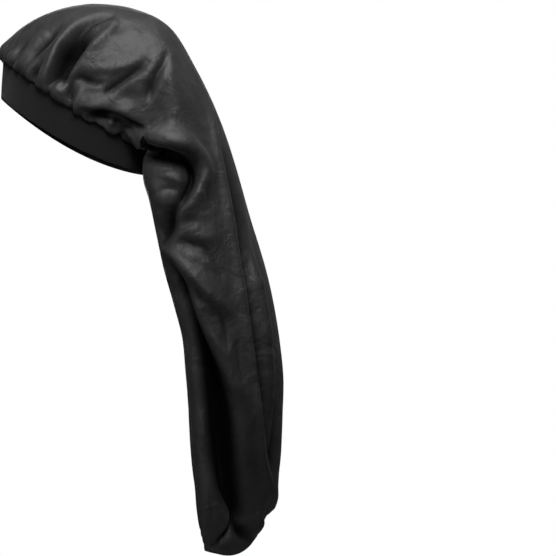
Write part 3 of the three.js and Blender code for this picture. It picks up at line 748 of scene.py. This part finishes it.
def make_satin_bag():
    net, distance, turn, sunk_shade = satin_net()
    rows, n = net.shape[:2]
    wall = SATIN_WALL * (1 + smooth(*LINING_DROP, distance))
    inner = net - normals(relax(net, 2)) * wall[..., None]
    # The lining, which is hardly seen, has half the rows and half the columns.
    kept = np.unique(np.append(np.arange(0, rows, 2), rows - 1))
    inner, m = inner[kept][:, ::2], n // 2
    points = np.concatenate([net.reshape(-1, 3), inner.reshape(-1, 3)])
    first = rows * n
    faces = net_faces(rows, n, 0, False) + net_faces(len(kept), m, first, True)
    # The edge at the seam joins two columns of the cloth to one of the lining.
    faces += [(2 * j, 2 * j + 1, (2 * j + 2) % n, first + (j + 1) % m, first + j) for j in range(m)]
    faces += closing_faces(n, (rows - 1) * n, False)
    faces += closing_faces(m, first + (len(kept) - 1) * m, True)
    around = np.broadcast_to(turn / math.tau * (SATIN_ROUND / CLOTH_UNIT), (rows, n))
    uv = np.stack([around, distance / CLOTH_UNIT], axis=-1)
    uv = np.concatenate([uv.reshape(-1, 2), uv[kept][:, ::2].reshape(-1, 2)])
    bag = mesh_from("satin", points, faces, uv)
    # Painted shade: where the satin lies deep in folds it is darkened through the hollow attribute.
    shade = np.maximum(painted_shade_of_hollows(net), sunk_shade)
    shade = np.concatenate([shade.ravel(), shade[kept][:, ::2].ravel()])
    bag.data.attributes.new("hollow", "FLOAT", "POINT").data.foreach_set("value", shade)
    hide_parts("satin_bag")
    return bag


def band_surface(level, face, turn):
    """How far a face of the band stands out from its form: rounded edges, slack and puckers."""
    into_edge = max(0.0, (abs(level) - (1 - BAND_ROUNDING)) / BAND_ROUNDING)
    edge = 1 - np.sqrt(max(0.0, 1 - into_edge ** 2))
    swell = BAND_SWELL * (1 - level ** 2)
    wave = BAND_WAVE * np.sin(9 * turn + 2) * np.sin(4 * turn + level)
    pucker = PUCKER_DEPTH * np.sin(PUCKERS * turn) * smooth(PUCKERS_FROM, 1, level)
    if face == "out":
        return swell - edge * BAND_WALL / 2 + wave + pucker
    return -BAND_WALL + edge * BAND_WALL / 2 + wave + pucker


def make_band():
    n = BAND_AROUND // 1
    turn = np.arange(n) * math.tau / n
    levels = np.linspace(-1, 1, BAND_LEVELS)
    sections = [(level, "out") for level in levels] + [(level, "in") for level in levels[::-1]]
    rings = [band_points(level, turn, band_surface(level, face, turn)) for level, face in sections]
    net = np.array(rings)
    rows = len(net)
    faces = []
    for i in range(rows):
        for j in range(n):
            a, b = i * n + j, i * n + (j + 1) % n
            c, d = ((i + 1) % rows) * n + (j + 1) % n, ((i + 1) % rows) * n + j
            faces.append((a, b, c, d))
    around = np.broadcast_to(turn / math.tau * (BAND_ROUND / CLOTH_UNIT), (rows, n))
    height = np.array([level * BAND_WIDTH / 2 / CLOTH_UNIT for level, _ in sections])
    uv = np.stack([around, np.broadcast_to(height[:, None], (rows, n))], axis=-1).reshape(-1, 2)
    band = mesh_from("band", net.reshape(-1, 3), faces, uv)
    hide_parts("elastic_band")
    return band


def new_material(name):
    """A material with its nodes, its links and its shader."""
    material = bpy.data.materials.new(name)
    material.use_nodes = True
    nodes = material.node_tree.nodes
    return material, nodes, material.node_tree.links, nodes["Principled BSDF"]


def add_node(nodes, kind, constants):
    """Adds a shader node with constants on its own sockets."""
    node = nodes.new("ShaderNode" + kind)
    for name, value in constants.items():
        node.inputs[name].default_value = value
    return node


def add_ramp(nodes, links, value, ends):
    """Colours between two ends, each of them a place and a colour."""
    ramp = nodes.new("ShaderNodeValToRGB")
    for element, (place, colour) in zip(ramp.color_ramp.elements, ends):
        element.position = place
        element.color = (*colour, 1)
    links.new(value, ramp.inputs["Fac"])
    return ramp.outputs["Color"]


def add_bumps(nodes, links, bumps):
    """Bumps over each other, each of them a height, a strength and a distance in metres."""
    normal = None
    for height, strength, distance in bumps:
        bump = add_node(nodes, "Bump", {"Strength": strength, "Distance": distance})
        links.new(height, bump.inputs["Height"])
        if normal is not None:
            links.new(normal, bump.inputs["Normal"])
        normal = bump.outputs["Normal"]
    return normal


def add_cloth_place(nodes):
    uv = nodes.new("ShaderNodeUVMap")
    uv.uv_map = "cloth"
    return uv.outputs["UV"]


def paint_shade_in_hollows(nodes, links, shader, output):
    """Painted shade: deep in a fold little light reaches the cloth, so a nearly black diffuse is
    mixed in there.
    """
    hollow = nodes.new("ShaderNodeAttribute")
    hollow.attribute_name = "hollow"
    shade = add_node(nodes, "MapRange", {"To Max": 0.93})
    links.new(hollow.outputs["Fac"], shade.inputs["Value"])
    # The painted shade's colour, a nearly black diffuse.
    dark = add_node(nodes, "BsdfDiffuse", {"Color": (0.002, 0.002, 0.002, 1)})
    mixed = nodes.new("ShaderNodeMixShader")
    links.new(shade.outputs["Result"], mixed.inputs["Fac"])
    links.new(shader.outputs["BSDF"], mixed.inputs[1])
    links.new(dark.outputs["BSDF"], mixed.inputs[2])
    links.new(mixed.outputs["Shader"], output)


def satin_material():
    material, nodes, links, shader = new_material("black satin")
    shader.inputs["Specular IOR Level"].default_value = 0.5
    shader.inputs["Sheen Weight"].default_value = 0.06
    shader.inputs["Sheen Roughness"].default_value = 0.5
    cloth = add_cloth_place(nodes)
    place = nodes.new("ShaderNodeTexCoord").outputs["Object"]
    # Slow changes of tone and gloss over the cloth.
    tone = add_node(nodes, "TexNoise", {"Scale": 36, "Detail": 6, "Roughness": 0.6})
    links.new(place, tone.inputs["Vector"])
    ends = [(0.3, (0.016, 0.016, 0.0166)), (0.75, (0.034, 0.034, 0.0355))]
    colour = add_ramp(nodes, links, tone.outputs["Fac"], ends)
    links.new(colour, shader.inputs["Base Color"])
    gloss = add_node(nodes, "MapRange", {"To Min": 0.48, "To Max": 0.64})
    links.new(tone.outputs["Fac"], gloss.inputs["Value"])
    links.new(gloss.outputs["Result"], shader.inputs["Roughness"])
    # Small crumples, fine streaks down the cloth, then the weave itself.
    crumple = add_node(nodes, "TexNoise", {"Scale": 44, "Detail": 5, "Distortion": 0.5})
    links.new(place, crumple.inputs["Vector"])
    drawn_out = add_node(nodes, "Mapping", {"Scale": (1, 1, 0.22)})
    links.new(place, drawn_out.inputs["Vector"])
    streak = add_node(nodes, "TexNoise", {"Scale": 150, "Detail": 4, "Distortion": 0.4})
    links.new(drawn_out.outputs["Vector"], streak.inputs["Vector"])
    weave = add_node(nodes, "TexWave", {"Scale": 70, "Distortion": 1.5, "Detail": 2})
    links.new(cloth, weave.inputs["Vector"])
    bumps = [(crumple.outputs["Fac"], 0.75, 0.004), (streak.outputs["Fac"], 0.3, 0.0016),
             (weave.outputs["Fac"], 0.05, 0.0003)]
    links.new(add_bumps(nodes, links, bumps), shader.inputs["Normal"])
    # Painted shade over the hollows of the folds.
    paint_shade_in_hollows(nodes, links, shader, nodes["Material Output"].inputs["Surface"])
    return material


def knit_material():
    material, nodes, links, shader = new_material("black elastic knit")
    shader.inputs["Specular IOR Level"].default_value = 0.25
    shader.inputs["Sheen Weight"].default_value = 0.12
    shader.inputs["Roughness"].default_value = 0.9
    cloth = add_cloth_place(nodes)
    rib = add_node(nodes, "TexWave", {"Scale": 26, "Distortion": 0.4, "Detail": 2})
    links.new(cloth, rib.inputs["Vector"])
    loops = add_node(nodes, "TexNoise", {"Scale": 160, "Detail": 3})
    links.new(cloth, loops.inputs["Vector"])
    ends = [(0, (0.008, 0.008, 0.0084)), (1, (0.0125, 0.0125, 0.013))]
    colour = add_ramp(nodes, links, loops.outputs["Fac"], ends)
    links.new(colour, shader.inputs["Base Color"])
    bumps = [(rib.outputs["Fac"], 0.35, 0.0005), (loops.outputs["Fac"], 0.4, 0.0004)]
    links.new(add_bumps(nodes, links, bumps), shader.inputs["Normal"])
    return material


def look_at(thing, target):
    direction = Vector(target) - thing.location
    thing.rotation_euler = direction.to_track_quat("-Z", "Y").to_euler()


def add_light(name, place, target, size, power, spread=180):
    """An oval lamp that faces a target, with its power in watts and its spread in degrees."""
    data = bpy.data.lights.new(name, "AREA")
    data.shape = "ELLIPSE"
    data.size, data.size_y = size
    data.energy = power
    data.spread = math.radians(spread)
    light = bpy.data.objects.new(name, data)
    bpy.context.scene.collection.objects.link(light)
    light.location = place
    look_at(light, target)


# The camera stands level beside the object's middle and turns to the photograph's centre. Its
# places, what the photograph spans, and the places of the floor and lights are in metres.
CAMERA_DISTANCE = 3.0
SENSOR_WIDTH = 36
PHOTO_WIDTH = 0.556
PHOTO_CENTRE = (0, 0.1975, -0.158)
OBJECT_MIDDLE_Y = 0.0605


def make_camera():
    data = bpy.data.cameras.new("camera")
    data.sensor_width = SENSOR_WIDTH
    data.lens = SENSOR_WIDTH * CAMERA_DISTANCE / PHOTO_WIDTH
    camera = bpy.data.objects.new("camera", data)
    bpy.context.scene.collection.objects.link(camera)
    camera.location = (CAMERA_DISTANCE, OBJECT_MIDDLE_Y, PHOTO_CENTRE[2])
    look_at(camera, PHOTO_CENTRE)
    bpy.context.scene.camera = camera


# How strongly the pale floor and the background light the object, where the camera sees 1.
CAST_LIGHT = 0.02

FLOOR_PLACE = (0, 0.06, -0.6)
FLOOR_RADIUS = 1.7
FLOOR_CORNERS = 96


def seen_and_cast(nodes, links, target):
    """Sets a light's strength to 1 where the camera sees it and to less where it falls."""
    path = nodes.new("ShaderNodeLightPath")
    strength = add_node(nodes, "MapRange", {"To Min": CAST_LIGHT})
    links.new(path.outputs["Is Camera Ray"], strength.inputs["Value"])
    links.new(strength.outputs["Result"], target)


def floor_material():
    """A pale surface that fades into the white background with distance."""
    material, nodes, links, shader = new_material("pale floor")
    shader.inputs["Base Color"].default_value = (0.85, 0.85, 0.85, 1)
    shader.inputs["Roughness"].default_value = 0.8
    place = nodes.new("ShaderNodeTexCoord")
    length = nodes.new("ShaderNodeVectorMath")
    length.operation = "LENGTH"
    links.new(place.outputs["Object"], length.inputs[0])
    fade = add_node(nodes, "MapRange", {"To Min": 0.6, "From Min": 0.5, "From Max": 1.6})
    fade.interpolation_type = "SMOOTHSTEP"
    links.new(length.outputs["Value"], fade.inputs["Value"])
    glow = nodes.new("ShaderNodeEmission")
    seen_and_cast(nodes, links, glow.inputs["Strength"])
    mix = nodes.new("ShaderNodeMixShader")
    links.new(fade.outputs["Result"], mix.inputs["Fac"])
    links.new(shader.outputs["BSDF"], mix.inputs[1])
    links.new(glow.outputs["Emission"], mix.inputs[2])
    links.new(mix.outputs["Shader"], nodes["Material Output"].inputs["Surface"])
    return material


def make_floor():
    turns = [k * math.tau / FLOOR_CORNERS for k in range(FLOOR_CORNERS)]
    ring = [(FLOOR_RADIUS * math.cos(turn), FLOOR_RADIUS * math.sin(turn), 0) for turn in turns]
    mesh = bpy.data.meshes.new("floor")
    mesh.from_pydata(ring, [], [tuple(range(FLOOR_CORNERS))])
    mesh.materials.append(floor_material())
    floor = bpy.data.objects.new("floor", mesh)
    bpy.context.scene.collection.objects.link(floor)
    floor.location = FLOOR_PLACE


def make_world():
    world = bpy.data.worlds.new("studio")
    bpy.context.scene.world = world
    world.use_nodes = True
    nodes, links = world.node_tree.nodes, world.node_tree.links
    background = nodes["Background"]
    background.inputs["Color"].default_value = (1, 1, 1, 1)
    seen_and_cast(nodes, links, background.inputs["Strength"])


def keep_true_colours():
    bpy.context.scene.view_settings.view_transform = "Standard"


def make_lights():
    """The key and top light the side that the photograph shows, and the others fill."""
    crown, nape, tail = (0, 0.07, 0.03), (0, 0.1, -0.06), (0, 0.12, -0.2)
    add_light("key", (0.85, 0.1, 0.75), crown, (0.7, 0.7), 1.45, spread=55)
    add_light("top", (0.15, 0.15, 0.9), crown, (0.6, 0.6), 0.95, spread=70)
    add_light("back", (-0.6, 1.4, 0.4), tail, (0.6, 1.2), 0.35)
    add_light("far", (-1.3, 0.0, 0.15), (0, 0.1, -0.1), (0.6, 0.9), 1.1, spread=60)
    add_light("front", (1.1, -1.2, 0.1), nape, (0.3, 0.3), 0.1, spread=25)
    add_light("low front", (-0.2, -1.6, 0.2), tail, (0.6, 0.9), 0.08)


bag = make_satin_bag()
band = make_band()
bag.data.materials.append(satin_material())
band.data.materials.append(knit_material())
make_camera()
make_floor()
make_world()
make_lights()
keep_true_colours()
